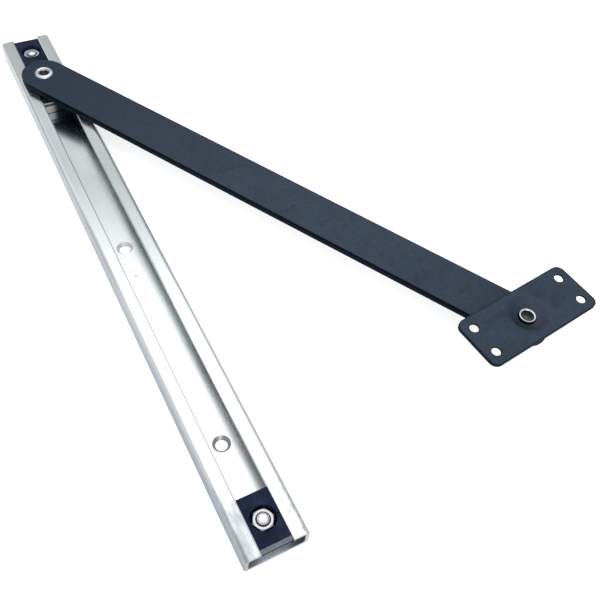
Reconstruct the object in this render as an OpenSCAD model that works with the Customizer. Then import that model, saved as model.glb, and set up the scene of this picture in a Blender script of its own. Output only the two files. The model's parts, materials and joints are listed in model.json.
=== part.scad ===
// Door restrictor stay. A laminated shoe slides in a lipped steel track between two end stops.
// A flat arm turns on the shoe at one end and in a dished screw plate at the other.
// The origin is the middle of the track's mounting face. +Y runs along the track towards the
// stop where the shoe is parked, and +Z points out of the slot.

/* [Track] */
// Length of the track
track_l = 417; // [330:1:540]
// Outer width of the track
track_w = 34.5; // [32.5:0.5:43]
// Outer height of the track, from its mounting face to the top of its lips
track_h = 13.5; // [13:0.5:17]
// Thickness of the track's sheet steel
track_t = 2.2; // [1.6:0.1:2.3]
// Outer radius of the track's four bends
bend_r = 2.8; // [2.6:0.1:3.8]
// Width of the slot between the two lips
slot_w = 17; // [15:0.2:19.4]

/* [Track screws] */
// Number of countersunk screw holes
track_holes = 3; // [2:1:3]
// Distance between neighbouring screw holes
track_hole_pitch = 144.5; // [108:0.5:150]
// Diameter of a screw hole
track_hole_d = 6.5; // [4.5:0.5:7]
// Depth of a screw hole's countersink
track_sink_h = 1.7; // [0.8:0.1:1.8]

/* [End stops] */
// Length of an end stop along the track
stop_l = 27; // [22:1:38]
// How far an end stop sits in from the track's end
stop_inset = 2.2; // [0:0.2:6.4]
// How far an end stop's top lies below the lips' tops
stop_drop = 0.2; // [0.1:0.1:0.8]
// How far a nut's top lies below the end stop's top
nut_drop = 1.9; // [1:0.1:3.6]
// Diameter of the counterbore round a nut
counterbore_d = 13.4; // [12:0.2:15]

/* [Stop fasteners] */
// Diameter of a stud
stud_d = 6; // [5:0.5:6]
// How far a stud's end stands out of its nut
stud_rise = 1.1; // [0.5:0.1:2.4]
// Diameter of a stud's flush head
stud_head_d = 8.4; // [7:0.2:9]
// Thickness of a stud's flush head
stud_head_h = 1.2; // [0.8:0.1:1.4]
// Width of a nut across its flats
nut_flats = 10; // [9:0.5:10]
// Height of a nut
nut_h = 5; // [4:0.5:5]

/* [Shoe] */
// Length of the shoe along the track
shoe_l = 43; // [32:1:65]
// Corner radius of the shoe's plates
shoe_corner_r = 3; // [1:0.5:5]
// Number of plates in the shoe
shoe_plates = 3; // [3:1:3]
// Diameter of the collar between the shoe and the arm
collar_d = 16.2; // [14:0.2:16.4]
// Thickness of the washer under the arm
arm_washer_t = 1; // [0.5:0.1:1.3]

/* [Arm] */
// Distance between the arm's two pivots
arm_l = 363.5; // [270:0.5:390]
// Width of the arm
arm_w = 30; // [26:0.5:34]
// Thickness of the arm
arm_t = 5; // [4:0.1:6.5]
// Gap between the arm and the track's lips
arm_lift = 0.6; // [0.4:0.1:1]

/* [Screw plate] */
// Length of the plate
plate_l = 84; // [80:1:108]
// Width of the plate
plate_w = 33.5; // [31:0.5:43]
// Thickness of the plate
plate_t = 2.2; // [1.7:0.1:2.6]
// Corner radius of the plate
plate_corner_r = 5; // [2:0.5:6.5]
// Distance between the plate's screw holes along its length
plate_pitch_l = 69; // [65:0.5:69]
// Distance between the plate's screw holes across its width
plate_pitch_w = 18; // [16:0.5:19.5]
// Diameter of a plate screw hole
plate_hole_d = 5.6; // [4.4:0.2:6.4]
// Depth of a plate screw hole's countersink, on the arm's side
plate_sink_h = 1.3; // [0.8:0.1:1.5]

/* [Plate dish] */
// Depth of the dish pressed in the plate's middle
dish_depth = 3.7; // [3.2:0.1:4.9]
// Radius of the dish's flat floor
dish_floor_r = 6.3; // [6:0.1:7]
// Radius at which the dish meets the plate's face
dish_top_r = 13.5; // [11:0.1:14]
// Radius of the washer between the arm and the dish
plate_washer_r = 6.6; // [5.8:0.1:6.6]
// Thickness of the washer between the arm and the dish
plate_washer_t = 1; // [0.5:0.1:1.6]

/* [Rivets] */
// Diameter of both rivets' barrels
barrel_d = 8.6; // [8:0.1:9]
// Diameter of the blind bore in the shoe's rivet
shoe_rivet_bore_d = 6; // [3.2:0.2:6.4]
// Depth of that bore, from the head's top
shoe_rivet_bore_h = 5.4; // [2:0.2:13]
// Diameter of the shoe rivet's rolled head
shoe_rivet_head_d = 12.4; // [11.2:0.2:14]
// Height of the shoe rivet's rolled head
shoe_rivet_head_h = 1.4; // [0.8:0.1:2]
// Diameter of the blind bore in the plate's rivet
plate_rivet_bore_d = 7.2; // [4.4:0.2:7.2]
// Depth of that bore, from the head's top
plate_rivet_bore_h = 2.8; // [1:0.2:6.6]
// Diameter of the plate rivet's rolled head
plate_rivet_head_d = 10.6; // [10.2:0.1:11.4]
// Height of the plate rivet's rolled head
plate_rivet_head_h = 1.9; // [1:0.1:2.4]
// Width of a rivet's flared foot beyond its barrel, on each side
flare_w = 1.5; // [0.8:0.1:1.7]

/* [Rest pose] */
// Direction of the arm, from +X
arm_angle = -59.2; // [-89:0.1:-20]
// Direction of the plate's long side, from +X
plate_angle = 7.2; // [-45:0.1:45]

/* [Hidden] */
$fn = 96;

// Clearances: between fixed pieces, round a turning rivet, under turning faces, and round the sliding shoe
seat_play = 0.05;
pivot_play = 0.05;
face_play = 0.05;
slide_play = 0.35;
stop_play = 0.3;
// A cut's overrun past the face that it opens
cut = 1;

// Heights of the track
floor_z = track_t;
lip_z = track_h - track_t;
inner_w = track_w - 2 * track_t;
inner_bend_r = bend_r - track_t;

// End stops and their fasteners
stop_y = track_l / 2 - stop_inset - stop_l / 2;
stop_top_z = track_h - stop_drop;
nut_top_z = stop_top_z - nut_drop;
nut_z = nut_top_z - nut_h;
stud_top_z = nut_top_z + stud_rise;
stud_hole_d = stud_d + 2 * seat_play;
nut_corners_d = nut_flats / cos(30);
nut_chamfer = 0.8;
nut_sink = 0.8;
dome_h = 0.5;

// The shoe fills the track's inner height, less a sliding clearance at its floor and its lips
shoe_w = inner_w - 2 * slide_play;
shoe_z = floor_z + slide_play;
shoe_plate_t = (lip_z - slide_play - shoe_z) / shoe_plates;
shoe_top_z = lip_z - slide_play;
shoe_y = track_l / 2 - stop_inset - stop_l - stop_play - shoe_l / 2;

// The arm and what it turns on
arm_z = track_h + arm_lift;
arm_top_z = arm_z + arm_t;
arm_bore_d = barrel_d + 2 * pivot_play;
collar_top_z = arm_z - face_play - arm_washer_t;
pin_hole_d = barrel_d + 2 * seat_play;
flare_h = flare_w;

// The screw plate stands on its washer, dish downwards
dish_under_z = arm_top_z + face_play + plate_washer_t;
dish_floor_z = dish_under_z + plate_t;
plate_top_z = dish_floor_z + dish_depth;
plate_z = plate_top_z - plate_t;
plate_x = arm_l * cos(arm_angle);
plate_y = shoe_y + arm_l * sin(arm_angle);
// The dish's underside is its upper side moved down and out by the sheet's thickness
dish_slope = atan2(dish_depth, dish_top_r - dish_floor_r);
dish_shift = plate_t * tan(dish_slope / 2);
// Straight steps along the dish's flank
flank_steps = 14;

// A rectangle with rounded corners, centred on the origin
module rounded_rectangle(w, h, r) {
    square([w - 2 * r, h], center = true);
    square([w, h - 2 * r], center = true);
    for (x = [-1, 1], y = [-1, 1])
        translate([x * (w / 2 - r), y * (h / 2 - r)]) circle(r);
}

// Extrudes a section drawn in X and Z along Y, by a length centred on the origin
module along_track(length) {
    translate([0, length / 2, 0]) rotate([90, 0, 0]) linear_extrude(length) children();
}

// A hole of diameter d through what lies from z to z + t, countersunk at 90 degrees from its top
module countersunk_hole(d, z, t, sink_h) {
    translate([0, 0, z - cut]) cylinder(d = d, h = t + 2 * cut);
    translate([0, 0, z + t - sink_h]) cylinder(d1 = d, d2 = d + 2 * (sink_h + cut), h = sink_h + cut);
}

// The section of a rivet's rolled head: a band w wide and h high whose top is one arc
module rolled_section(w, h) {
    arc_h = min(h, w / 2);
    arc_r = (w * w / 4 + arc_h * arc_h) / (2 * arc_h);
    if (h > arc_h) square([w, h - arc_h]);
    intersection() {
        translate([w / 2, h - arc_r]) circle(arc_r);
        square([w, h]);
    }
}

// A rivet: a flared foot at z, a barrel, and a head that is rolled outwards round a blind bore
module rolled_rivet(z, head_z, bore_d, bore_h, head_d, head_h) {
    barrel_r = barrel_d / 2;
    difference() {
        rotate_extrude() {
            polygon([
                [0, z], [barrel_r + flare_w, z], [barrel_r, z + flare_h], [barrel_r, head_z], [0, head_z],
            ]);
            translate([bore_d / 2, head_z]) rolled_section((head_d - bore_d) / 2, head_h);
        }
        translate([0, 0, head_z + head_h - bore_h]) cylinder(d = bore_d, h = bore_h);
    }
}

// A seat for a rivet's flared foot, cut up from z, with its play square to the cone's side
module flare_seat(z, play) {
    d = barrel_d + 2 * play / cos(45);
    translate([0, 0, z]) cylinder(d1 = d + 2 * flare_w, d2 = d, h = flare_h);
    translate([0, 0, z - cut]) cylinder(d = d + 2 * flare_w, h = cut);
}

// Moves what sits on the shoe to the shoe's pivot
module at_shoe() {
    translate([0, shoe_y, 0]) children();
}

// Moves what sits on the screw plate to the plate's pivot, turned as the plate
module at_plate() {
    translate([plate_x, plate_y, 0]) rotate([0, 0, plate_angle]) children();
}

// The track's section: a rounded tube with a slot along its top
module track_section() {
    difference() {
        translate([0, track_h / 2]) rounded_rectangle(track_w, track_h, bend_r);
        translate([0, track_h / 2]) rounded_rectangle(inner_w, track_h - 2 * track_t, inner_bend_r);
        translate([-slot_w / 2, track_h / 2]) square([slot_w, track_h]);
    }
}

module track() {
    color("gainsboro") difference() {
        along_track(track_l) track_section();
        for (i = [0 : track_holes - 1])
            translate([0, (i - (track_holes - 1) / 2) * track_hole_pitch, 0])
                countersunk_hole(track_hole_d, 0, track_t, track_sink_h);
        for (side = [-1, 1]) translate([0, side * stop_y, -cut]) {
            cylinder(d = stud_hole_d, h = track_t + 2 * cut);
            cylinder(d = stud_head_d + 2 * seat_play, h = stud_head_h + seat_play + cut);
        }
    }
}

// An end stop's section: a wide foot under the lips and a neck that fills the slot
module stop_section() {
    foot_w = inner_w - 2 * seat_play;
    foot_top_z = lip_z - seat_play;
    neck_w = slot_w - 2 * seat_play;
    polygon([
        [-foot_w / 2 + inner_bend_r, floor_z], [foot_w / 2 - inner_bend_r, floor_z],
        [foot_w / 2, floor_z + inner_bend_r], [foot_w / 2, foot_top_z - inner_bend_r],
        [foot_w / 2 - inner_bend_r, foot_top_z], [neck_w / 2, foot_top_z],
        [neck_w / 2, stop_top_z], [-neck_w / 2, stop_top_z],
        [-neck_w / 2, foot_top_z], [-foot_w / 2 + inner_bend_r, foot_top_z],
        [-foot_w / 2, foot_top_z - inner_bend_r], [-foot_w / 2, floor_z + inner_bend_r],
    ]);
}

// An end stop, on the side of the origin that side gives
module end_stop(side) {
    color("midnightblue") translate([0, side * stop_y, 0]) difference() {
        along_track(stop_l) stop_section();
        translate([0, 0, floor_z - cut]) cylinder(d = stud_hole_d, h = track_h);
        translate([0, 0, nut_z]) cylinder(d = counterbore_d, h = track_h);
    }
}

module end_stop_near() {
    end_stop(-1);
}

module end_stop_far() {
    end_stop(1);
}

// A clinched stud: a head flush with the mounting face and a shank with a domed end
module stud() {
    cylinder(d = stud_head_d, h = stud_head_h);
    cylinder(d = stud_d, h = stud_top_z - dome_h);
    intersection() {
        dome_r = (stud_d * stud_d / 4 + dome_h * dome_h) / (2 * dome_h);
        translate([0, 0, stud_top_z - dome_r]) sphere(dome_r);
        translate([0, 0, stud_top_z - dome_h]) cylinder(d = stud_d, h = 2 * dome_h);
    }
}

module stop_studs() {
    color("whitesmoke") for (side = [-1, 1])
        translate([0, side * stop_y, 0]) stud();
}

// A hexagon nut whose corners are turned away and whose hole is countersunk at its top
module nut() {
    corner_r = nut_corners_d / 2;
    intersection() {
        difference() {
            cylinder(r = corner_r, h = nut_h, $fn = 6);
            countersunk_hole(stud_hole_d, 0, nut_h, nut_sink);
        }
        rotate_extrude() polygon([
            [0, 0], [corner_r - nut_chamfer, 0], [corner_r, nut_chamfer / 2],
            [corner_r, nut_h - nut_chamfer / 2], [corner_r - nut_chamfer, nut_h], [0, nut_h],
        ]);
    }
}

module stop_nuts() {
    color("silver") for (side = [-1, 1])
        translate([0, side * stop_y, nut_z]) nut();
}

// One of the shoe's plates, counted from the track's floor, with its rivet hole
module shoe_plate(index) {
    at_shoe() translate([0, 0, shoe_z + index * shoe_plate_t]) difference() {
        linear_extrude(shoe_plate_t) rounded_rectangle(shoe_w, shoe_l, shoe_corner_r);
        translate([0, 0, -cut]) cylinder(d = pin_hole_d, h = shoe_plate_t + 2 * cut);
        if (index == 0) flare_seat(0, seat_play);
    }
}

module shoe_lower_plate() {
    color("darkgray") shoe_plate(0);
}

module shoe_middle_plate() {
    color("silver") shoe_plate(1);
}

module shoe_top_plate() {
    color("darkgray") shoe_plate(2);
}

// A ring between two heights
module ring(outer_d, hole_d, z, top_z) {
    translate([0, 0, z]) difference() {
        cylinder(d = outer_d, h = top_z - z);
        translate([0, 0, -cut]) cylinder(d = hole_d, h = top_z - z + 2 * cut);
    }
}

module pivot_collar() {
    color("dimgray") at_shoe() ring(collar_d, pin_hole_d, shoe_top_z, collar_top_z);
}

module arm_washer() {
    color("black") at_shoe() ring(collar_d, pin_hole_d, collar_top_z, arm_z - face_play);
}

module shoe_rivet() {
    color("white") at_shoe() rolled_rivet(
        shoe_z, arm_top_z + face_play, shoe_rivet_bore_d, shoe_rivet_bore_h,
        shoe_rivet_head_d, shoe_rivet_head_h);
}

// The arm: a bar with full-round ends, bored at both and countersunk under the plate's rivet
module arm() {
    color("darkslategray") at_shoe() rotate([0, 0, arm_angle]) difference() {
        union() {
            for (x = [0, arm_l]) translate([x, 0, arm_z]) cylinder(d = arm_w, h = arm_t);
            translate([0, -arm_w / 2, arm_z]) cube([arm_l, arm_w, arm_t]);
        }
        for (x = [0, arm_l])
            translate([x, 0, arm_z - cut]) cylinder(d = arm_bore_d, h = arm_t + 2 * cut);
        translate([arm_l, 0, 0]) flare_seat(arm_z, pivot_play);
    }
}

module plate_washer() {
    color("dimgray") at_plate() ring(2 * plate_washer_r, pin_hole_d, arm_top_z + face_play, dish_under_z);
}

module plate_rivet() {
    color("white") at_plate() rolled_rivet(
        arm_z, dish_floor_z, plate_rivet_bore_d, plate_rivet_bore_h,
        plate_rivet_head_d, plate_rivet_head_h);
}

// The dish's flank: a smooth S from its floor up to the plate's face, moved out by shift
function dish_flank(z, shift) = [for (i = [0 : flank_steps]) [
    dish_floor_r + shift + (dish_top_r - dish_floor_r) * i / flank_steps,
    z + dish_depth * (1 - cos(180 * i / flank_steps)) / 2,
]];

// The dish, turned as one solid: its upper flank inwards, then its lower flank outwards
module dish() {
    hole_r = pin_hole_d / 2;
    rotate_extrude() polygon(concat(
        [[hole_r, dish_floor_z]], dish_flank(dish_floor_z, 0), [[dish_top_r + dish_shift, plate_top_z]],
        [for (i = [flank_steps : -1 : 0]) dish_flank(dish_under_z, dish_shift)[i]], [[hole_r, dish_under_z]]
    ));
}

// The screw plate: a rounded sheet, countersunk from the arm's side, with a dish pressed in its middle
module screw_plate() {
    color("darkslategray") at_plate() {
        difference() {
            translate([0, 0, plate_z]) linear_extrude(plate_t)
                rounded_rectangle(plate_l, plate_w, plate_corner_r);
            translate([0, 0, plate_z - cut]) cylinder(r = dish_top_r + dish_shift, h = plate_t + 2 * cut);
            for (x = [-1, 1], y = [-1, 1])
                translate([x * plate_pitch_l / 2, y * plate_pitch_w / 2, plate_top_z]) mirror([0, 0, 1])
                    countersunk_hole(plate_hole_d, 0, plate_t, plate_sink_h);
        }
        dish();
    }
}

track();
end_stop_near();
end_stop_far();
stop_studs();
stop_nuts();
shoe_lower_plate();
shoe_middle_plate();
shoe_top_plate();
pivot_collar();
arm_washer();
shoe_rivet();
arm();
plate_washer();
plate_rivet();
screw_plate();
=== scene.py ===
# Looks, light and camera of the door restrictor stay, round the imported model.
import json
import math

import bpy
from mathutils import Matrix, Vector


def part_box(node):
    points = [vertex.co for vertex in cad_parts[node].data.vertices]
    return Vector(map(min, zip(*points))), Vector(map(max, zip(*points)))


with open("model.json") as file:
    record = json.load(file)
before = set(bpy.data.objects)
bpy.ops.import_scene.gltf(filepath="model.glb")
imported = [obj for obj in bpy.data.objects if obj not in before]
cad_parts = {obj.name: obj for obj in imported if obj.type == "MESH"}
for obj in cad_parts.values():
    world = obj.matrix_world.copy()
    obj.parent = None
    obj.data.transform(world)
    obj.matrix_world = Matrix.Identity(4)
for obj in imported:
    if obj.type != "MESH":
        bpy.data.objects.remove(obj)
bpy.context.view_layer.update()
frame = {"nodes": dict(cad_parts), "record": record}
nodes = frame["nodes"]
scene = bpy.context.scene

MM = 0.001
PHOTO_SIDE = 600  # pixels along the photograph's side
SENSOR_WIDTH = 36  # millimetres
WHITE = (1, 1, 1)
ALONG, UP = 1, 2  # the axes along the track and out of its slot, as facing() takes them


# Places on the part, from the frame's own boxes


def centre_from_above(name):
    low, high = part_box(name)
    return (low.x + high.x) / 2, (low.y + high.y) / 2


SHOE_PIVOT = centre_from_above("shoe_rivet")
PLATE_PIVOT = centre_from_above("plate_rivet")
STOP_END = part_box("end_stop_far")[1].y  # how far out both end stops reach
SLOT_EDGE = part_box("pivot_collar")[1].x + 0.4 * MM
LIP_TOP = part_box("track")[1].z
TRACK_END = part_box("track")[1].y
ARM_UNDER, ARM_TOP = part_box("arm")[0].z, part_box("arm")[1].z
SHOE_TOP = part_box("shoe_top_plate")[1].z
PLATE_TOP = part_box("screw_plate")[1].z
FLOOR_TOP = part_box("end_stop_near")[0].z
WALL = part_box("track")[1].x
STUD_Y = centre_from_above("end_stop_far")[1]  # both studs stand this far from the middle
DENT = (-1.4 * MM, -23.2 * MM)  # a small dark dent in the track's floor
PLATE_CORNER = 5 * MM  # radius of the screw plate's corners
PLATE_HOLES = [
    Vector(mount["pos_m"]) for mount in frame["record"]["mounts"]
    if "plate_screw" in mount["name"]
]


# Camera, found from the photograph: where it stands, its line of sight and its turn round that line

CAMERA_PLACE = Vector((-74.1, -303.4, 365.8)) * MM
FOCAL_PIXELS = 760.8
# Turn from the world's axes to the camera's, as an axis times an angle; the camera's Y points down
CAMERA_TURN = Vector((2.46160, -0.56553, 0.30980))


def photo_camera():
    data = bpy.data.cameras.new("photo_camera")
    data.sensor_width = SENSOR_WIDTH
    data.lens = FOCAL_PIXELS / PHOTO_SIDE * SENSOR_WIDTH
    data.clip_start, data.clip_end = 0.01, 100
    camera = bpy.data.objects.new("photo_camera", data)
    turn = Matrix.Rotation(CAMERA_TURN.length, 3, CAMERA_TURN.normalized())
    right, down, ahead = turn
    axes = Matrix((right, -down, -ahead)).transposed()
    camera.matrix_world = Matrix.Translation(CAMERA_PLACE) @ axes.to_4x4()
    scene.collection.objects.link(camera)
    scene.camera = camera


# Shader helpers


def new_material(name):
    material = bpy.data.materials.new(name)
    material.use_nodes = True
    tree = material.node_tree
    return material, tree, tree.nodes["Principled BSDF"]


def add(tree, kind, inputs=None, **settings):
    node = tree.nodes.new(kind)
    for key, value in settings.items():
        setattr(node, key, value)
    for key, value in (inputs or {}).items():
        if isinstance(value, bpy.types.NodeSocket):
            tree.links.new(value, node.inputs[key])
        else:
            node.inputs[key].default_value = value
    return node


def noise(tree, scale, detail=3.0, roughness=0.5, stretch=(1, 1, 1)):
    """Noise in object space, scale in cells per metre, drawn out by stretch along each axis."""
    where = add(tree, "ShaderNodeTexCoord")
    mapping = add(tree, "ShaderNodeMapping", {"Vector": where.outputs["Object"], "Scale": stretch})
    return add(tree, "ShaderNodeTexNoise", {
        "Vector": mapping.outputs["Vector"], "Scale": scale, "Detail": detail, "Roughness": roughness,
    }).outputs["Fac"]


def ramp(tree, factor, *stops):
    """A colour ramp through (position, value) stops, where a value is a grey level or a colour."""
    node = add(tree, "ShaderNodeValToRGB", {"Fac": factor})
    elements = node.color_ramp.elements
    while len(elements) < len(stops):
        elements.new(0.5)
    for element, (position, value) in zip(elements, stops):
        element.position = position
        element.color = (*value, 1) if isinstance(value, tuple) else (value, value, value, 1)
    return node.outputs["Color"]


def mix(tree, factor, first, second, blend="MIX"):
    node = add(tree, "ShaderNodeMix", data_type="RGBA", blend_type=blend)
    for socket, value in zip((node.inputs[0], node.inputs[6], node.inputs[7]), (factor, first, second)):
        if isinstance(value, bpy.types.NodeSocket):
            tree.links.new(value, socket)
        else:
            socket.default_value = value if isinstance(value, float) else (*value, 1)
    return node.outputs[2]


def place(tree):
    """The point's own place in object space, as three sockets in metres."""
    where = add(tree, "ShaderNodeTexCoord")
    return add(tree, "ShaderNodeSeparateXYZ", {0: where.outputs["Object"]}).outputs


def math_node(tree, operation, first, second=0.0):
    return add(tree, "ShaderNodeMath", {0: first, 1: second}, operation=operation).outputs[0]


def absolute(tree, value):
    return math_node(tree, "ABSOLUTE", value)


def length(tree, first, second):
    squares = (math_node(tree, "POWER", side, 2.0) for side in (first, second))
    return math_node(tree, "SQRT", math_node(tree, "ADD", *squares))


def from_axis(tree, x, y, both_ends=False):
    """Distance in metres from the upright axis through x and y, or with both_ends, from its mirror too."""
    here = place(tree)
    here_y = absolute(tree, here[1]) if both_ends else here[1]
    return length(tree, math_node(tree, "SUBTRACT", here[0], x), math_node(tree, "SUBTRACT", here_y, y))


def inside_plate(tree):
    """How many metres a point is inside the screw plate's rounded outline, up to the corners' radius."""
    here = add(tree, "ShaderNodeTexCoord").outputs["Object"]
    centre = sum(PLATE_HOLES, Vector()) / len(PLATE_HOLES)
    past = []
    for neighbour in PLATE_HOLES[1:3]:  # across the plate, then along it
        way = (neighbour - PLATE_HOLES[0]).normalized()
        reach = max(abs((corner.co - centre).dot(way)) for corner in nodes["screw_plate"].data.vertices)
        along = add(tree, "ShaderNodeVectorMath", {0: here, 1: way}, operation="DOT_PRODUCT")
        offset = absolute(tree, math_node(tree, "SUBTRACT", along.outputs["Value"], centre.dot(way)))
        beyond = math_node(tree, "SUBTRACT", offset, reach - PLATE_CORNER)
        past.append(math_node(tree, "MAXIMUM", beyond, 0.0))
    return math_node(tree, "SUBTRACT", PLATE_CORNER, length(tree, *past))


def step(tree, value, start, end):
    """A factor that changes smoothly from 0 at start to 1 at end. Start may be the larger of the two."""
    return add(tree, "ShaderNodeMapRange", {
        "Value": value, "From Min": start, "From Max": end, "To Min": 0.0, "To Max": 1.0,
    }, interpolation_type="SMOOTHSTEP").outputs[0]


def facing(tree, axis, start=0.55, end=0.85):
    """A factor that is 1 on faces square to an axis of the object, and 0 on faces along it."""
    normal = add(tree, "ShaderNodeTexCoord").outputs["Normal"]
    part = add(tree, "ShaderNodeSeparateXYZ", {0: normal}).outputs[axis]
    return step(tree, absolute(tree, part), start, end)


def both(tree, first, *others):
    """A factor that is 1 where all of the given factors are. A number among them weakens it."""
    for other in others:
        first = math_node(tree, "MULTIPLY", first, other)
    return first


def either(tree, first, *others):
    """A factor that is 1 where any of the given factors is."""
    for other in others:
        first = math_node(tree, "MAXIMUM", first, other)
    return first


def inverse(tree, factor):
    return math_node(tree, "SUBTRACT", 1.0, factor)


def bump(tree, height, distance, strength):
    inputs = {"Height": height, "Distance": distance, "Strength": strength}
    return add(tree, "ShaderNodeBump", inputs).outputs["Normal"]


# Materials


def on_lips(tree):
    return step(tree, place(tree)[2], LIP_TOP - 1.2 * MM, LIP_TOP - 0.8 * MM)


def on_floor(tree):
    return step(tree, place(tree)[2], FLOOR_TOP + 0.4 * MM, FLOOR_TOP + 0.2 * MM)


def on_left(tree):
    return step(tree, place(tree)[0], 0.0, -1 * MM)


def on_right(tree):
    return step(tree, place(tree)[0], 0.0, 1 * MM)


def along_track(tree):
    """0 at the track's near end and 1 at its far end."""
    return add(tree, "ShaderNodeMapRange", {
        "Value": place(tree)[1], "From Min": -TRACK_END, "From Max": TRACK_END,
    }).outputs[0]


def slot_edge_shade(tree):
    """Painted shade along the lips' inner edges: the whole left one, and the right one's near end."""
    x, y = place(tree)[:2]
    # Painted shade: a dark line along the left lip's inner edge, and along the right one by the near stop.
    left = both(
        tree, on_left(tree),
        step(tree, x, -SLOT_EDGE - 0.75 * MM, -SLOT_EDGE - 0.5 * MM),
    )
    right = both(
        tree, on_right(tree),
        step(tree, x, SLOT_EDGE + 0.55 * MM, SLOT_EDGE + 0.35 * MM),
        step(tree, y, -120 * MM, -150 * MM),
        0.6,
    )
    return both(tree, either(tree, left, right), on_lips(tree))


def track_grime_and_shade(tree):
    """Where the track is dark: painted shade on the slot edges, a dent, worn near end, scuffs, and the sawn
    ends' foot, a burr with painted contact shadow.
    """
    y, z = place(tree)[1:]
    dent = step(tree, from_axis(tree, *DENT), 1.1 * MM, 0.4 * MM)
    near = step(tree, y, -TRACK_END + 60 * MM, -TRACK_END + 20 * MM)
    rubbed = step(tree, noise(tree, 420, 5, 0.75, stretch=(1, 0.45, 1)), 0.42, 0.66)
    # The sawn ends' foot: a burr, darkened further by a painted contact shadow.
    foot = both(tree, facing(tree, ALONG), step(tree, z, 0.5 * MM, 0.2 * MM))
    scuffs = step(tree, noise(tree, 160, 5, 0.75, stretch=(1, 0.2, 1)), 0.60, 0.72)
    return either(
        tree,
        slot_edge_shade(tree),
        both(tree, dent, 0.8),
        both(tree, near, on_lips(tree), rubbed, 0.55),
        both(tree, foot, 0.8),
        both(tree, scuffs, 0.16),
    )


def track_pits(tree):
    """A few small dark pits by the outer edge of the right lip, near its near end."""
    x, y = place(tree)[:2]
    return both(
        tree, on_lips(tree),
        step(tree, noise(tree, 620, 4, 0.75), 0.62, 0.65),
        step(tree, x, SLOT_EDGE + 2 * MM, SLOT_EDGE + 5 * MM),
        step(tree, y, -TRACK_END + 30 * MM, -TRACK_END + 20 * MM),
    )


def lip_tint_and_shade(tree, tint):
    """Duller by painted shade halfway along the right lip, rubbed duller at the left one's near end, and
    clear of the painted shade on its far bend.
    """
    x, y = place(tree)[:2]
    right = both(
        tree, on_lips(tree), on_right(tree),
        step(tree, y, -80 * MM, -10 * MM),
        step(tree, y, 100 * MM, 40 * MM),
        0.4,
    )
    # Painted shade on the right lip's middle stretch.
    tint = mix(tree, right, tint, (0.43, 0.48, 0.48))
    rubbed = ramp(tree, noise(tree, 110, 4, 0.6, stretch=(1, 0.3, 1)), (0.35, 0.3), (0.6, 1.0))
    left = both(
        tree, on_lips(tree), on_left(tree),
        step(tree, y, -TRACK_END + 50 * MM, -TRACK_END + 10 * MM),
        rubbed,
    )
    tint = mix(tree, left, tint, (0.34, 0.36, 0.38))
    bend = both(
        tree, on_lips(tree),
        step(tree, x, -WALL + 3 * MM, -WALL + 2 * MM),
        step(tree, y, -20 * MM, 60 * MM),
    )
    # The left lip's far bend is kept clear of the painted shade.
    return mix(tree, bend, tint, WHITE)


def wall_shade(tree, tint):
    """The left wall's outside is painted a bluish grey shade that clears towards the far end, and darker
    painted shade at its foot.
    """
    x, y, z = place(tree)
    outside = both(
        tree,
        step(tree, x, -WALL + 1.2 * MM, -WALL + 0.3 * MM),
        step(tree, z, LIP_TOP, LIP_TOP - 1.5 * MM),
    )
    # Painted shade and reflection on the left wall's outside.
    grey = ramp(
        tree, along_track(tree),
        (0.05, (0.62, 0.66, 0.72)),
        (0.3, (0.69, 0.72, 0.78)),
        (0.6, (0.75, 0.77, 0.80)),
        (0.9, 0.81),
    )
    # Painted shade at the foot, where the wall curves under.
    grey = mix(tree, step(tree, z, 6 * MM, 1 * MM), grey, (0.36, 0.38, 0.40))
    return mix(tree, outside, tint, grey)


def beyond_near_stop(tree):
    """The strip of floor between the near stop's outer end and the sawn end."""
    y = place(tree)[1]
    return both(
        tree, on_floor(tree),
        step(tree, y, -STOP_END, -STOP_END - 0.1 * MM),
        step(tree, y, -TRACK_END, -TRACK_END + 0.2 * MM),
    )


def floor_tint_and_shade(tree, tint):
    """Greener by the right wall, duller and bluer towards the shoe by painted shade and a painted reflection
    of the arm, and painted shade across the near end's strip.
    """
    x, y = place(tree)[:2]
    gutter = both(
        tree, on_floor(tree),
        step(tree, x, 5 * MM, 8 * MM),
        step(tree, y, -100 * MM, -50 * MM),
        step(tree, y, 90 * MM, 50 * MM),
    )
    tint = mix(tree, gutter, tint, (0.94, 1.0, 0.955))
    # Painted shade and a painted reflection of the arm on the floor towards the shoe.
    towards_shoe = both(tree, on_floor(tree), step(tree, y, 55 * MM, 95 * MM))
    tint = mix(tree, towards_shoe, tint, (0.86, 0.88, 0.85))
    by_shoe = both(tree, on_floor(tree), step(tree, y, 100 * MM, 130 * MM))
    tint = mix(tree, by_shoe, tint, (0.50, 0.60, 0.76))
    # Painted shade across the strip beyond the near stop.
    shade = ramp(
        tree, step(tree, x, -WALL, WALL),
        (0.05, 0.55),
        (0.25, (0.80, 0.87, 0.97)),
        (0.6, (0.78, 0.85, 0.95)),
        (0.8, (0.50, 0.58, 0.66)),
        (0.95, 0.25),
    )
    return mix(tree, beyond_near_stop(tree), tint, shade)


def track_tint_and_shade(tree):
    """A tint for the whole track, duller beyond its middle by painted shade, with each face's own changes.
    """
    # Painted shade along the track.
    tint = ramp(
        tree, along_track(tree),
        (0.38, 0.84),
        (0.50, 0.70),
        (0.66, 0.72),
        (0.80, (0.84, 0.86, 0.86)),
        (0.97, (0.97, 1.0, 1.0)),
    )
    return floor_tint_and_shade(tree, wall_shade(tree, lip_tint_and_shade(tree, tint)))


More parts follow.
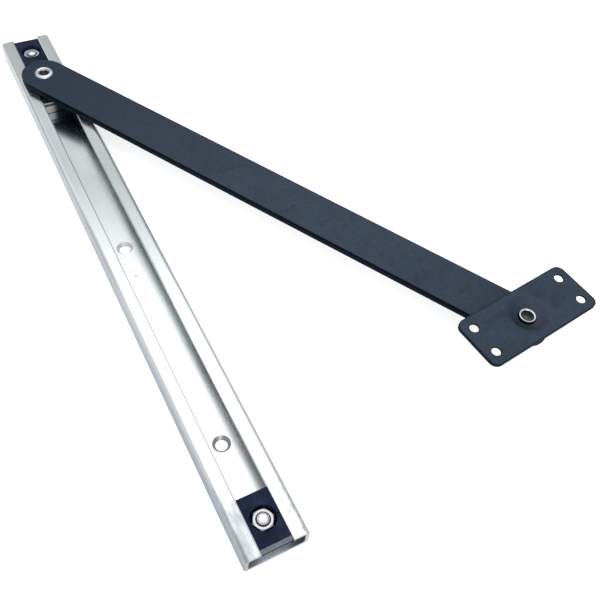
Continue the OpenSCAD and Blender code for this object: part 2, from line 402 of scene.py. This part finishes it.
def hole_walls(tree):
    """The walls and countersinks of the screw holes in the track's floor."""
    x, y, z = place(tree)
    return both(
        tree, inverse(tree, facing(tree, UP, 0.85, 0.95)),
        step(tree, z, FLOOR_TOP + 0.1 * MM, FLOOR_TOP),
        step(tree, absolute(tree, x), 8 * MM, 7 * MM),
        step(tree, absolute(tree, y), TRACK_END - 1 * MM, TRACK_END - 2 * MM),
    )


def pale_slot_edge(tree):
    """The right lip's inner edge, from the near third on, which catches the light."""
    x, y, z = place(tree)
    return both(
        tree, on_right(tree),
        step(tree, x, SLOT_EDGE + 0.8 * MM, SLOT_EDGE + 0.6 * MM),
        step(tree, z, LIP_TOP - 1 * MM, LIP_TOP - 0.8 * MM),
        step(tree, y, -90 * MM, -30 * MM),
    )


def zinc_sheet():
    """Galvanised sheet, rolled along the track, so it blurs what it mirrors across the track."""
    material, tree, shader = new_material("zinc_sheet")
    y = place(tree)[1]
    streaks = noise(tree, 900, 4, 0.6, stretch=(1, 0.02, 1))
    patches = noise(tree, 45, 4, 0.6, stretch=(1, 0.35, 1))
    spangle = noise(tree, 700, 2, 0.5)
    rolled = inverse(tree, facing(tree, ALONG))  # all but the sawn ends
    sunk = hole_walls(tree)
    past_near_hole = step(tree, y, -100 * MM, -20 * MM)

    colour = ramp(tree, patches, (0.25, (0.82, 0.85, 0.865)), (0.75, (0.94, 0.965, 0.975)))
    colour = mix(tree, 1.0, colour, track_tint_and_shade(tree), "MULTIPLY")
    streaked = both(tree, rolled, step(tree, y, -STOP_END - 0.4 * MM, -STOP_END), 0.1)
    colour = mix(tree, streaked, colour, ramp(tree, streaks, (0.3, 0.5), (0.7, 1.0)), "MULTIPLY")
    # Painted light: the countersink walls past the near hole are painted white, as if lit.
    colour = mix(tree, both(tree, sunk, past_near_hole), colour, WHITE)
    # Painted shade on the near hole's walls, in the recess.
    near_hole_shade = both(tree, sunk, inverse(tree, past_near_hole), 0.6)
    # Grime, wear and painted shade darken the track here.
    colour = mix(tree, either(tree, track_grime_and_shade(tree), near_hole_shade), colour, (0.30, 0.31, 0.32))
    colour = mix(tree, track_pits(tree), colour, (0.06, 0.055, 0.05))
    tree.links.new(colour, shader.inputs["Base Color"])

    matt = either(tree, sunk, pale_slot_edge(tree), both(tree, beyond_near_stop(tree), 0.55))
    tree.links.new(ramp(tree, matt, (0.0, 1.0), (1.0, 0.25)), shader.inputs["Metallic"])

    patchy = ramp(tree, patches, (0.3, 0.22), (0.8, 0.32))
    rough = mix(tree, 0.3, patchy, ramp(tree, streaks, (0.3, 0.2), (0.7, 0.34)))
    smoother = ramp(tree, step(tree, y, 85 * MM, 115 * MM), (0.0, 1.0), (1.0, 0.8))
    tree.links.new(mix(tree, 1.0, rough, smoother, "MULTIPLY"), shader.inputs["Roughness"])

    tree.links.new(both(tree, rolled, 0.7), shader.inputs["Anisotropic"])
    shader.inputs["Anisotropic Rotation"].default_value = 0.25
    # Slightly askew, so that it is never parallel to the normal of the sawn ends
    rolling_way = add(
        tree, "ShaderNodeVectorTransform", {0: (0.02, 1, 0.03)},
        vector_type="VECTOR", convert_from="OBJECT", convert_to="WORLD",
    )
    tree.links.new(rolling_way.outputs[0], shader.inputs["Tangent"])
    tree.links.new(bump(tree, both(tree, spangle, on_lips(tree)), 0.00001, 0.08), shader.inputs["Normal"])
    return material


def plated_steel(name, dark, light, rough=(0.18, 0.4)):
    """Plated steel between two greys, with soft patches and a fine grain. Gives its colour too."""
    material, tree, shader = new_material(name)
    shader.inputs["Metallic"].default_value = 1.0
    grain = noise(tree, 1800, 3, 0.6)
    colour = ramp(tree, noise(tree, 300, 3, 0.6), (0.3, dark), (0.7, light))
    tree.links.new(colour, shader.inputs["Base Color"])
    tree.links.new(ramp(tree, grain, (0.3, rough[0]), (0.75, rough[1])), shader.inputs["Roughness"])
    tree.links.new(bump(tree, grain, 0.00004, 0.3), shader.inputs["Normal"])
    return material, tree, shader, colour


def stud_zinc():
    """Bright zinc studs, with a dark ring near the edge of their domed ends, and a grey thread."""
    greys = ((0.48, 0.47, 0.48), (0.95, 0.93, 0.95))
    material, tree, shader, colour = plated_steel("stud_zinc", *greys, rough=(0.3, 0.5))
    radius = from_axis(tree, 0.0, STUD_Y, both_ends=True)
    ring = both(
        tree,
        step(tree, radius, 2.2 * MM, 2.4 * MM),
        step(tree, radius, 2.75 * MM, 2.6 * MM),
    )
    colour = mix(tree, ring, colour, (0.30, 0.29, 0.30))
    thread = step(tree, radius, 2.85 * MM, 2.98 * MM)
    colour = mix(tree, thread, colour, (0.34, 0.34, 0.36))
    tree.links.new(colour, shader.inputs["Base Color"])
    return material


def nut_zinc():
    """Zinc plated nuts: grey on top, lavender grey and less metallic outside, and a dark thread inside."""
    greys = ((0.50, 0.51, 0.53), (0.64, 0.645, 0.66))
    material, tree, shader, colour = plated_steel("nut_zinc", *greys, rough=(0.3, 0.5))
    radius = from_axis(tree, 0.0, STUD_Y, both_ends=True)
    outside = step(tree, radius, 4.6 * MM, 4.95 * MM)
    colour = mix(tree, outside, colour, (0.62, 0.66, 0.78))
    thread = step(tree, radius, 3.8 * MM, 3.5 * MM)
    colour = mix(tree, thread, colour, (0.42, 0.42, 0.44))
    tree.links.new(colour, shader.inputs["Base Color"])
    tree.links.new(ramp(tree, outside, (0.0, 1.0), (1.0, 0.3)), shader.inputs["Metallic"])
    return material


def punched_steel():
    """The shoe's plates: warm and bright, with a painted brown shadow band on the top one, and the arm's
    shadow painted on the right.
    """
    metals = ((0.82, 0.77, 0.70), (1.0, 0.94, 0.86))
    material, tree, shader, colour = plated_steel("punched_steel", *metals, rough=(0.25, 0.4))
    x, y, z = place(tree)
    # Painted shadow: a brown band below the top plate's edge.
    shaded_band = both(
        tree,
        step(tree, z, SHOE_TOP - 0.7 * MM, SHOE_TOP - 1.1 * MM),
        step(tree, z, SHOE_TOP - 3.1 * MM, SHOE_TOP - 2.8 * MM),
    )
    ends = facing(tree, ALONG)
    colour = mix(tree, ends, colour, (1.0, 0.87, 0.71))
    colour = mix(tree, shaded_band, colour, (0.16, 0.12, 0.105))
    # Painted shadow of the arm over the right of the shoe.
    painted_shade = step(tree, x, -5 * MM, 1 * MM)
    colour = mix(tree, painted_shade, colour, (0.012, 0.018, 0.016))
    tree.links.new(colour, shader.inputs["Base Color"])
    tree.links.new(ramp(tree, ends, (0.0, 1.0), (1.0, 0.6)), shader.inputs["Metallic"])
    return material


def shoe_rivet_zinc():
    """Bright zinc, grey inside its rim, with painted shade in its bore, darkest on the left."""
    greys = ((0.60, 0.62, 0.67), (0.80, 0.82, 0.87))
    material, tree, shader, colour = plated_steel("shoe_rivet_zinc", *greys)
    radius = from_axis(tree, *SHOE_PIVOT)
    inside_rim = step(tree, radius, 4.4 * MM, 3.5 * MM)
    colour = mix(tree, both(tree, inside_rim, 0.6), colour, (0.27, 0.28, 0.30))
    bore = step(tree, radius, 3.3 * MM, 2.6 * MM)
    # Painted shade in the bore, darker on the left than on the right.
    painted_shade = ramp(tree, step(tree, place(tree)[0], -2.5 * MM, 3 * MM), (0.0, 0.14), (1.0, 0.5))
    tree.links.new(mix(tree, bore, colour, painted_shade), shader.inputs["Base Color"])
    return material


def plate_rivet_zinc():
    """Only the rim's top is bright. The wall is near black, and the bore is mottled grey green."""
    greys = ((0.5, 0.51, 0.52), (0.75, 0.76, 0.77))
    material, tree, shader, colour = plated_steel("plate_rivet_zinc", *greys)
    radius = from_axis(tree, *PLATE_PIVOT)
    bore = step(tree, radius, 3.9 * MM, 3.5 * MM)
    patches = noise(tree, 1500, 3, 0.6)
    mottle = ramp(tree, patches, (0.4, (0.03, 0.04, 0.035)), (0.62, (0.17, 0.2, 0.18)))
    colour = mix(tree, bore, colour, mottle)
    wall = step(tree, radius, 4.6 * MM, 4.9 * MM)
    colour = mix(tree, wall, colour, (0.012, 0.014, 0.018))
    tree.links.new(colour, shader.inputs["Base Color"])
    return material


def coat_clouds(tree, rubbed):
    """Slate black with rub marks, clouds, blots and a fine mottle, and darker by painted shade towards the
    far end.
    """
    colour = ramp(tree, rubbed, (0.3, (0.033, 0.055, 0.090)), (0.7, (0.049, 0.073, 0.110)))
    clouds = ramp(tree, noise(tree, 22, 3, 0.55), (0.35, (0.5, 0.55, 0.6)), (0.6, 1.0))
    colour = mix(tree, 0.3, colour, clouds, "MULTIPLY")
    blots = ramp(tree, noise(tree, 95, 3, 0.6, stretch=(1, 1.6, 1)), (0.60, 1.0), (0.68, 0.45))
    colour = mix(tree, 0.4, colour, blots, "MULTIPLY")
    mottle = ramp(tree, noise(tree, 420, 4, 0.7), (0.4, 0.6), (0.6, 1.0))
    colour = mix(tree, 0.5, colour, mottle, "MULTIPLY")
    # Painted shade: the coat darkens towards the far end.
    far = step(tree, place(tree)[1], -20 * MM, 170 * MM)
    return mix(tree, both(tree, far, 0.8), colour, (0.014, 0.030, 0.053))


def coat_shades(tree, colour):
    """Darkens the arm underneath and where the plate covers it, and shades the dish from left to right."""
    x, y, z = place(tree)
    from_rivet = from_axis(tree, *PLATE_PIVOT)
    sunny = step(tree, x, PLATE_PIVOT[0] - 10 * MM, PLATE_PIVOT[0] + 12 * MM)
    dish = mix(tree, sunny, (0.016, 0.026, 0.050), (0.066, 0.074, 0.118))
    in_dish = both(
        tree,
        step(tree, from_rivet, 15 * MM, 9 * MM),
        step(tree, z, ARM_TOP, ARM_TOP + 1 * MM),
        0.6,
    )
    colour = mix(tree, in_dish, colour, dish)
    underside = step(tree, z, ARM_UNDER + 0.4 * MM, ARM_UNDER + 0.1 * MM)
    colour = mix(tree, underside, colour, (0.010, 0.020, 0.055))
    under_plate = both(
        tree,
        step(tree, from_rivet, 16 * MM, 14 * MM),
        step(tree, z, ARM_TOP + 0.3 * MM, ARM_TOP + 0.1 * MM),
        0.8,
    )
    return mix(tree, under_plate, colour, (0.008, 0.012, 0.024))


def coat_side_shading(tree):
    """The sides' painted shade: black, with a painted reflection making the arm's lower half slate, and a
    painted highlight line low on the plate.
    """
    z = place(tree)[2]
    thickness = ARM_TOP - ARM_UNDER
    low = step(tree, z, ARM_UNDER + 0.58 * thickness, ARM_UNDER + 0.40 * thickness)
    # Painted shade on the sides, with the arm's lower half lighter as a painted reflection.
    side = mix(tree, low, (0.003, 0.008, 0.017), (0.014, 0.020, 0.032))
    # Painted highlight: a pale line low on the plate.
    highlight_line = both(
        tree,
        step(tree, z, PLATE_TOP - 1.3 * MM, PLATE_TOP - 1.6 * MM),
        step(tree, z, PLATE_TOP - 2.6 * MM, PLATE_TOP - 2.4 * MM),
    )
    return mix(tree, highlight_line, side, (0.10, 0.12, 0.15))


def plate_rim_shade(tree):
    """Painted shade on the plate's top: along its outline and round its screw holes."""
    rims = [step(tree, inside_plate(tree), 0.9 * MM, 0.5 * MM)]
    for hole in PLATE_HOLES:
        rims.append(step(tree, from_axis(tree, hole.x, hole.y), 3.5 * MM, 3.1 * MM))
    top = step(tree, place(tree)[2], PLATE_TOP - 0.4 * MM, PLATE_TOP - 0.35 * MM)
    return both(tree, either(tree, *rims), top, 0.75)


def black_coat():
    """Slate black powder coat with a fine orange peel, duller on its sides, and darker by painted shade on
    its sides and rims.
    """
    material, tree, shader = new_material("black_coat")
    rubbed = noise(tree, 60, 5, 0.65)
    flat = facing(tree, UP, 0.35, 0.65)
    colour = coat_shades(tree, coat_clouds(tree, rubbed))
    # Painted shade and highlight on the sides.
    colour = mix(tree, flat, coat_side_shading(tree), colour)
    # Painted shade along the plate's outline and round its holes.
    colour = mix(tree, plate_rim_shade(tree), colour, (0.006, 0.010, 0.020))
    tree.links.new(colour, shader.inputs["Base Color"])
    tree.links.new(ramp(tree, rubbed, (0.3, 0.42), (0.8, 0.54)), shader.inputs["Roughness"])
    tree.links.new(ramp(tree, flat, (0.0, 0.03), (1.0, 0.2)), shader.inputs["Specular IOR Level"])
    peel = noise(tree, 2600, 2, 0.5)
    tree.links.new(bump(tree, peel, 0.00003, 0.35), shader.inputs["Normal"])
    return material


def black_nylon():
    """Moulded navy-black plastic with a faint grain, painted a lit grey in the middle of the stops' outer
    ends.
    """
    material, tree, shader = new_material("black_nylon")
    x, y, z = place(tree)
    cloud = noise(tree, 120, 3, 0.5)
    colour = ramp(tree, cloud, (0.35, (0.008, 0.015, 0.037)), (0.65, (0.024, 0.037, 0.074)))
    patches = noise(tree, 500, 4, 0.6)
    # Painted light: the stops' outer ends are painted a lit grey.
    lit_grey = ramp(tree, patches, (0.35, (0.20, 0.21, 0.245)), (0.65, (0.30, 0.31, 0.35)))
    # Painted shade: a shadow line at the stops' foot, and shade under the lips beside the slot.
    foot = both(
        tree,
        step(tree, z, FLOOR_TOP + 3.2 * MM, FLOOR_TOP + 2.6 * MM),
        step(tree, z, FLOOR_TOP + 0.6 * MM, FLOOR_TOP + 1.0 * MM),
    )
    beside_slot = step(tree, absolute(tree, x), SLOT_EDGE, SLOT_EDGE + 1.5 * MM)
    lit_grey = mix(tree, either(tree, foot, beside_slot), lit_grey, (0.03, 0.035, 0.05))
    ends = step(tree, absolute(tree, y), STOP_END - 0.15 * MM, STOP_END - 0.05 * MM)
    tree.links.new(mix(tree, ends, colour, lit_grey), shader.inputs["Base Color"])
    tree.links.new(ramp(tree, cloud, (0.3, 0.36), (0.8, 0.5)), shader.inputs["Roughness"])
    shader.inputs["Specular IOR Level"].default_value = 0.06
    grain = noise(tree, 3200, 2, 0.5)
    tree.links.new(bump(tree, grain, 0.00002, 0.3), shader.inputs["Normal"])
    return material


def dress(material, *names):
    for name in names:
        nodes[name].data.materials.clear()
        nodes[name].data.materials.append(material)


def round_edges(width, *names):
    """Breaks the edges of CAD nodes by a bevel of this width, in millimetres."""
    for name in names:
        modifier = nodes[name].modifiers.new("broken_edges", "BEVEL")
        modifier.width = width * MM
        modifier.segments = 3
        modifier.limit_method = "ANGLE"
        modifier.angle_limit = math.radians(40)
        modifier.harden_normals = True


def dress_all():
    dress(zinc_sheet(), "track")
    dress(stud_zinc(), "stop_studs")
    dress(nut_zinc(), "stop_nuts")
    dress(shoe_rivet_zinc(), "shoe_rivet")
    dress(plate_rivet_zinc(), "plate_rivet")
    dress(punched_steel(), "shoe_lower_plate", "shoe_middle_plate", "shoe_top_plate", "pivot_collar")
    dress(black_coat(), "arm", "screw_plate")
    dress(black_nylon(), "end_stop_near", "end_stop_far", "arm_washer", "plate_washer")
    round_edges(0.45, "arm")
    round_edges(0.6, "shoe_top_plate", "shoe_middle_plate", "shoe_lower_plate")
    round_edges(0.3, "screw_plate", "track", "end_stop_near", "end_stop_far")


# Studio


def by_ray(tree, seen, mirrored, lit):
    """One shader for the camera, one for what metal mirrors, and one for the light that falls on things."""
    rays = add(tree, "ShaderNodeLightPath").outputs
    direct = math_node(tree, "MAXIMUM", rays["Is Camera Ray"], rays["Is Transmission Ray"])
    indirect = add(tree, "ShaderNodeMixShader", {0: rays["Is Glossy Ray"], 1: lit, 2: mirrored}).outputs[0]
    return add(tree, "ShaderNodeMixShader", {0: direct, 1: indirect, 2: seen}).outputs[0]


def studio_world():
    world = bpy.data.worlds.new("studio")
    scene.world = world
    world.use_nodes = True
    tree = world.node_tree
    tree.nodes.clear()
    seen_sky = (WHITE, 1.0)
    mirrored_sky = ((0.97, 0.99, 1), 0.86)
    lighting_sky = ((0.95, 0.98, 1), 0.62)
    seen, mirrored, lit = (
        add(tree, "ShaderNodeBackground", {"Color": (*tint, 1), "Strength": strength}).outputs[0]
        for tint, strength in (seen_sky, mirrored_sky, lighting_sky)
    )
    output = add(tree, "ShaderNodeOutputWorld")
    tree.links.new(by_ray(tree, seen, mirrored, lit), output.inputs["Surface"])


def studio_floor():
    """A floor that looks white, and mirrors brighter towards the far end, but lights the part less."""
    bpy.ops.mesh.primitive_plane_add(size=12, location=(0, 0, -0.1 * MM))
    floor = bpy.context.object
    floor.name = "floor"
    material, tree = new_material("floor")[:2]
    white, grey = (
        add(tree, "ShaderNodeBsdfDiffuse", {"Color": (level, level, level, 1)}).outputs[0]
        for level in (0.9, 0.3)
    )
    glow = add(tree, "ShaderNodeEmission", {"Color": (*WHITE, 1), "Strength": 0.7})
    seen = add(tree, "ShaderNodeAddShader", {0: white, 1: glow.outputs[0]}).outputs[0]
    brighter = ramp(tree, step(tree, place(tree)[1], -0.3, 0.3), (0, 0.04), (1, 0.3))
    far_glow = add(tree, "ShaderNodeEmission", {"Color": (0.93, 0.97, 1, 1), "Strength": brighter})
    mirrored = add(tree, "ShaderNodeAddShader", {0: white, 1: far_glow.outputs[0]}).outputs[0]
    tree.links.new(by_ray(tree, seen, mirrored, grey), tree.nodes["Material Output"].inputs["Surface"])
    floor.data.materials.append(material)


def softbox(name, spot, aim, size, power):
    data = bpy.data.lights.new(name, "AREA")
    data.shape = "RECTANGLE"
    data.size, data.size_y = size
    data.energy = power
    lamp = bpy.data.objects.new(name, data)
    lamp.location = spot
    lamp.rotation_mode = "QUATERNION"
    lamp.rotation_quaternion = (Vector(aim) - Vector(spot)).to_track_quat("-Z", "Y")
    scene.collection.objects.link(lamp)


def card(name, spot, aim, size, grey):
    """A grey card beside the set. The camera doesn't see it, but metal does."""
    bpy.ops.mesh.primitive_plane_add(size=1, location=spot)
    board = bpy.context.object
    board.name = name
    board.rotation_mode = "QUATERNION"
    board.rotation_quaternion = (Vector(aim) - Vector(spot)).to_track_quat("Z", "Y")
    board.scale = (*size, 1)
    material, tree = new_material(name)[:2]
    glow = add(tree, "ShaderNodeEmission", {"Color": (grey, grey, grey, 1), "Strength": 1.0})
    tree.links.new(glow.outputs[0], tree.nodes["Material Output"].inputs["Surface"])
    board.data.materials.append(material)
    board.visible_camera = False
    board.visible_shadow = False


def studio():
    studio_world()
    studio_floor()
    softbox("top_box", (0.3, 0.6, 1.6), (0.05, -0.05, 0), (1.2, 1.3), 5.5)
    softbox("front_box", (-0.3, -1.5, 0.6), (0.05, -0.05, 0), (0.8, 0.6), 6)
    card("far_card", (0, 1.3, 0.35), (0, 0, 0.1), (3.0, 1.0), 0.5)
    card("right_card", (1.2, 0.2, 0.12), (0, 0, 0.1), (2.4, 0.35), 0.3)


photo_camera()
dress_all()
studio()

scene.view_settings.view_transform = "Standard"
